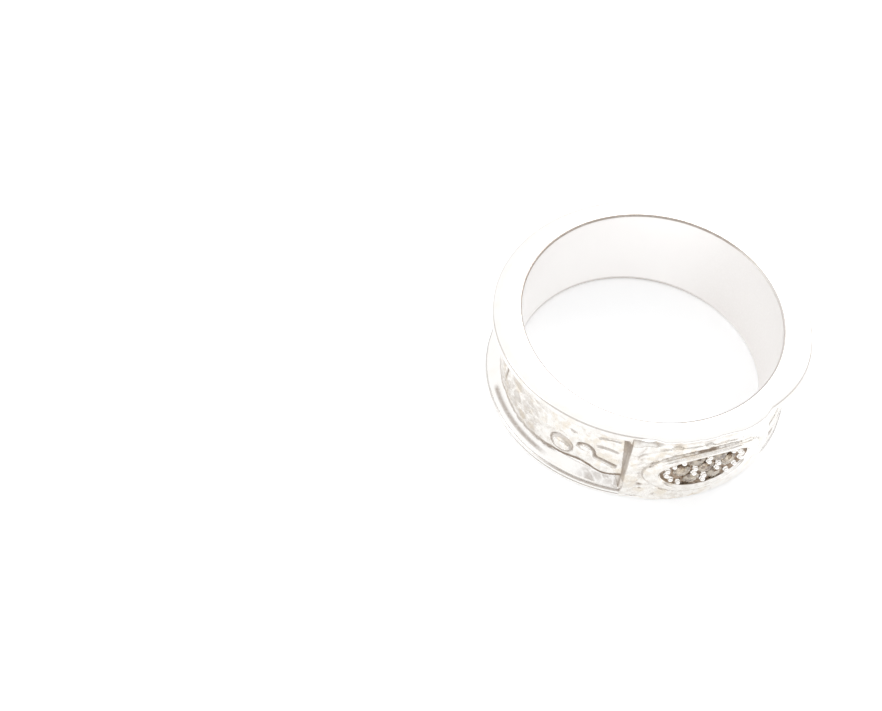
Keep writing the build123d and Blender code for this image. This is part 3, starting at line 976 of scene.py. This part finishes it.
# %% The lip's rule
def lip_rule(sizes):
    """A section swept round a circle, stretched between two ovals and bent about the ring's axis."""
    tree, given, result = new_rule("oval_lip_rule", sizes)
    circle = geometry_node(tree, "CurvePrimitiveCircle", {"Resolution": 220, "Radius": 1.5})
    upright = geometry_node(tree, "SetCurveNormal", {"Curve": circle}, mode="Z_UP")
    section = geometry_node(tree, "CurvePrimitiveQuadrilateral", {"Width": 1.0, "Height": given["Lip Depth"]})
    fine = geometry_node(tree, "ResampleCurve", {"Curve": section, "Length": 0.05}, mode="LENGTH")
    sweep = geometry_node(tree, "CurveToMesh", {"Curve": upright, "Profile Curve": fine})
    place = add_node(tree, "ShaderNodeSeparateXYZ", {0: geometry_node(tree, "InputPosition")})
    flat = add_node(tree, "ShaderNodeCombineXYZ", {"X": place.outputs["X"], "Y": place.outputs["Y"]})
    distance = vector_node(tree, "LENGTH", flat.outputs[0])
    share = math_node(tree, "SUBTRACT", distance, 1.0)
    stretched = []
    for axis, half, added in (("X", "Half Width", "End Width"), ("Y", "Half Height", "Side Width")):
        length = math_node(tree, "ADD", given[half], times(tree, share, given[added]))
        direction = math_node(tree, "DIVIDE", place.outputs[axis], distance)
        stretched.append(times(tree, direction, length))
    fall = times(tree, ramp(tree, share, given["Fall From"], 1.0), given["Fall"])
    edge = ramp(tree, share, given["Round"], 0.0)
    rounding = times(tree, times(tree, edge, edge), given["Round Depth"])
    fall = math_node(tree, "ADD", fall, rounding)
    sunk = math_node(tree, "SUBTRACT", given["Reach"], times(tree, given["Lip Depth"], 0.5))
    out = math_node(tree, "SUBTRACT", math_node(tree, "ADD", sunk, place.outputs["Z"]), fall)
    squares = times(tree, out, out)
    across = times(tree, stretched[0], stretched[0])
    forward = math_node(tree, "SQRT", math_node(tree, "SUBTRACT", squares, across))
    up = math_node(tree, "ADD", given["Middle"], stretched[1])
    ahead = times(tree, forward, -1.0)
    bent = add_node(tree, "ShaderNodeCombineXYZ", {"X": stretched[0], "Y": ahead, "Z": up}).outputs[0]
    moved = geometry_node(tree, "SetPosition", {"Geometry": sweep, "Position": bent})
    metres = geometry_node(tree, "Transform", {"Geometry": moved, "Scale": (MM,) * 3})
    end_rule(tree, metres, given["Material"], result)
    return tree


# %% Make the lip
lip_sizes = {
    "Half Width": oval_width / 2, "Half Height": oval_height / 2,
    "End Width": lip_end, "Side Width": lip_side, "Lip Depth": lip_radius - floor_radius - 0.1,
    "Round": 0.35, "Round Depth": 0.22, "Fall": 0.12, "Fall From": 0.70,
    "Reach": lip_radius, "Middle": middle,
}
lip = piece_from_rule("oval_lip", lip_rule, lip_sizes, silver, cast_share=0.8)
# The lip's skin share falls towards its right too, so its left is painted darker as shade.
lip_x = np.array([v.co.x for v in lip.data.vertices]) / MM
lip.data.attributes["cast"].data.foreach_set("value", 1 - 0.6 * smoothed_and_lit_share(lip_x))
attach(lip, "root")
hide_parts("band")

# %% [markdown]
# ## The pocket's bed
#
# Inside the lip the metal is cut back to a bed with a cone seat for each stone. Polishing never reaches it,
# so it stays dark brown. A grid of ovals inside ovals follows the pocket's edge exactly.

# %% Where the stones and the beads stand
stone_pitch = 1.86
row_pitch = 1.15
stone_radius = 0.65
seat = {"depth": 0.5, "over_bed": 0.1, "clearance": 0.03}
mound = {"rise": 0.10, "reach": 0.45, "most": 0.14}
stone_rows = {-1: (-0.5, 0.5), 0: (-1, 0, 1), 1: (-0.5, 0.5)}
stone_spots = [(x * stone_pitch, row * row_pitch) for row, places in stone_rows.items() for x in places]
bead_quarter = ((0.5, 0.27), (1.61, 0.26), (1.4, 0.77), (1.06, 1.16))
bead_spots = [(0, side * share * row_pitch) for share in (0.83, 1.3) for side in (-1, 1)]
for x, y in bead_quarter:
    bead_spots += [(side * x * stone_pitch, end * y * row_pitch) for side in (-1, 1) for end in (-1, 1)]
print(f"{len(stone_spots)} stones held by {len(bead_spots)} beads")


# %% Make the bed
def bed_radius_at(x, y):
    """The bed's surface, with a seat under each stone and a low swelling under each bead."""
    radius = np.full(np.shape(x), pocket_radius)
    for bx, by in bead_spots:
        radius = radius + mound["rise"] * step(1 - np.hypot(x - bx, y - by) / mound["reach"])
    radius = np.minimum(radius, pocket_radius + mound["most"])
    for sx, sy in stone_spots:
        share = np.hypot(x - sx, y - sy) / (stone_radius + seat["clearance"])
        cone = pocket_radius + seat["over_bed"] - seat["depth"] * (1 - share)
        radius = np.where(share < 1, np.minimum(radius, cone), radius)
    return radius


def make_bed():
    """The bed, closed: ovals of points on top, one skirt and a centre point below."""
    rings, around, grow, bed_foot = 48, 200, 1.04, floor_radius - 0.05
    turn = np.linspace(0, 2 * math.pi, around, endpoint=False)
    shares = np.linspace(0, 1, rings + 1)[1:]
    x = np.concatenate([[0.0], (shares[:, None] * np.cos(turn) * oval_width / 2 * grow).ravel()])
    y = np.concatenate([[0.0], (shares[:, None] * np.sin(turn) * oval_height / 2 * grow).ravel()])
    out = np.concatenate([bed_radius_at(x, y), np.full(around + 1, bed_foot)])
    x = np.concatenate([x, x[-around:], [0.0]])
    y = np.concatenate([y, y[-around:], [0.0]])
    points = np.stack([x, -np.sqrt(out**2 - x**2), middle + y], 1)
    quads = []
    for j in range(around):
        k = (j + 1) % around
        quads.append((0, 1 + j, 1 + k, 1 + k))
        for i in range(rings):
            a = 1 + i * around
            quads.append((a + j, a + around + j, a + around + k, a + k))
        last = 1 + rings * around
        quads.append((last + j, last + around, last + around, last + k))
    return make_piece("pocket_bed", points, np.array(quads), dark_silver, tarnish_and_shade_share=0.9, cast_share=1.0)


bed = make_bed()
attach(bed, "root")
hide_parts("band")

# %% [markdown]
# ## The beads
#
# A setter raises small beads from the bed with a graver and pushes them over the stones' edges. All twenty
# have one shape, so one bead is made and Geometry Nodes put it on each spot: a ball on a short foot, turned
# to face outwards, with a little difference in size from a fixed seed.

# %% The bead's rule
def bead_rule(sizes):
    """A ball on a tapered foot on every point, facing away from the ring's axis."""
    tree, given, result = new_rule("bead_rule", sizes, takes_geometry=True)
    ball = geometry_node(tree, "MeshUVSphere", {"Segments": 24, "Rings": 14, "Radius": given["Ball Radius"]})
    radii = {"Radius Top": given["Ball Radius"], "Radius Bottom": given["Foot Radius"]}
    foot = geometry_node(tree, "MeshCone", {"Vertices": 24, "Depth": given["Foot Length"], **radii})
    below = times(tree, given["Foot Length"], -1.0)
    down = add_node(tree, "ShaderNodeCombineXYZ", {"Z": below}).outputs[0]
    lowered = geometry_node(tree, "Transform", {"Geometry": foot, "Translation": down})
    bead = add_node(tree, "GeometryNodeJoinGeometry")
    tree.links.new(ball, bead.inputs[0])
    tree.links.new(lowered, bead.inputs[0])
    outwards = vector_node(tree, "MULTIPLY", geometry_node(tree, "InputPosition"), (1, 1, 0))
    facing = add_node(tree, "FunctionNodeAlignRotationToVector", {"Vector": outwards}, axis="Z")
    # Sockets 2 and 3 are the smallest and the largest size
    size = add_node(tree, "FunctionNodeRandomValue", {2: 0.92, 3: 1.06, "Seed": 4}, data_type="FLOAT")
    sockets = {"Points": given["Geometry"], "Instance": bead.outputs[0]}
    sockets |= {"Rotation": facing.outputs[0], "Scale": size.outputs[1]}
    spread = geometry_node(tree, "InstanceOnPoints", sockets)
    end_rule(tree, spread, given["Material"], result)
    return tree


# %% Make the beads
bead_rise = 0.29
bead_centre = pocket_radius + bead_rise
bead_seeds = bpy.data.meshes.new("bead_places")
seed_points = [(x * MM, -math.sqrt(bead_centre**2 - x**2) * MM, (middle + y) * MM) for x, y in bead_spots]
bead_seeds.from_pydata(seed_points, [], [])
bead_sizes = {"Ball Radius": 0.21 * MM, "Foot Radius": 0.26 * MM, "Foot Length": 0.34 * MM}
beads = piece_from_rule("bead_prongs", bead_rule, bead_sizes, silver, cast_share=0.0, seed_mesh=bead_seeds)
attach(beads, "root")
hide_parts("band")

# %% [markdown]
# ## The stones
#
# The stones' shape is right in the frame, facet by facet, so its own nodes stay and only get their material:
# clear glass with a high index and a smoky brown tint, as they look over their brown bed.

# %% Dress the stones
stone_light = (1.0, 0.88, 0.70, 1)
stone_smoky = (0.30, 0.20, 0.13, 1)


def stone_material():
    """A clear bright stone with a smoky cloud."""
    material, tree, shader = new_material("smoky_stone")
    cloud = noise(tree, spot_in_mm(tree), scale=2.2, detail=3.0)
    tint = mix_colours(tree, ramp(tree, cloud, 0.42, 0.62), stone_light, stone_smoky)
    look = {"Base Color": tint, "Roughness": 0.05, "IOR": 2.0, "Transmission Weight": 0.58}
    set_inputs(tree, shader, look)
    return material


smoky_stone = stone_material()
for node_name, node in frame["nodes"].items():
    if node_name.startswith("stone_"):
        node.data.materials.clear()
        node.data.materials.append(smoky_stone)
print("stones dressed")

# %% [markdown]
# ## Closing
#
# The dressed ring's box is printed next to the frame's box.

# %% Write the sizes and finish
visual_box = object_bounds()
for label, box in (("frame box", cad_box), ("dressed box", visual_box)):
    print(label, [round(c / MM, 2) for corner in box for c in corner])
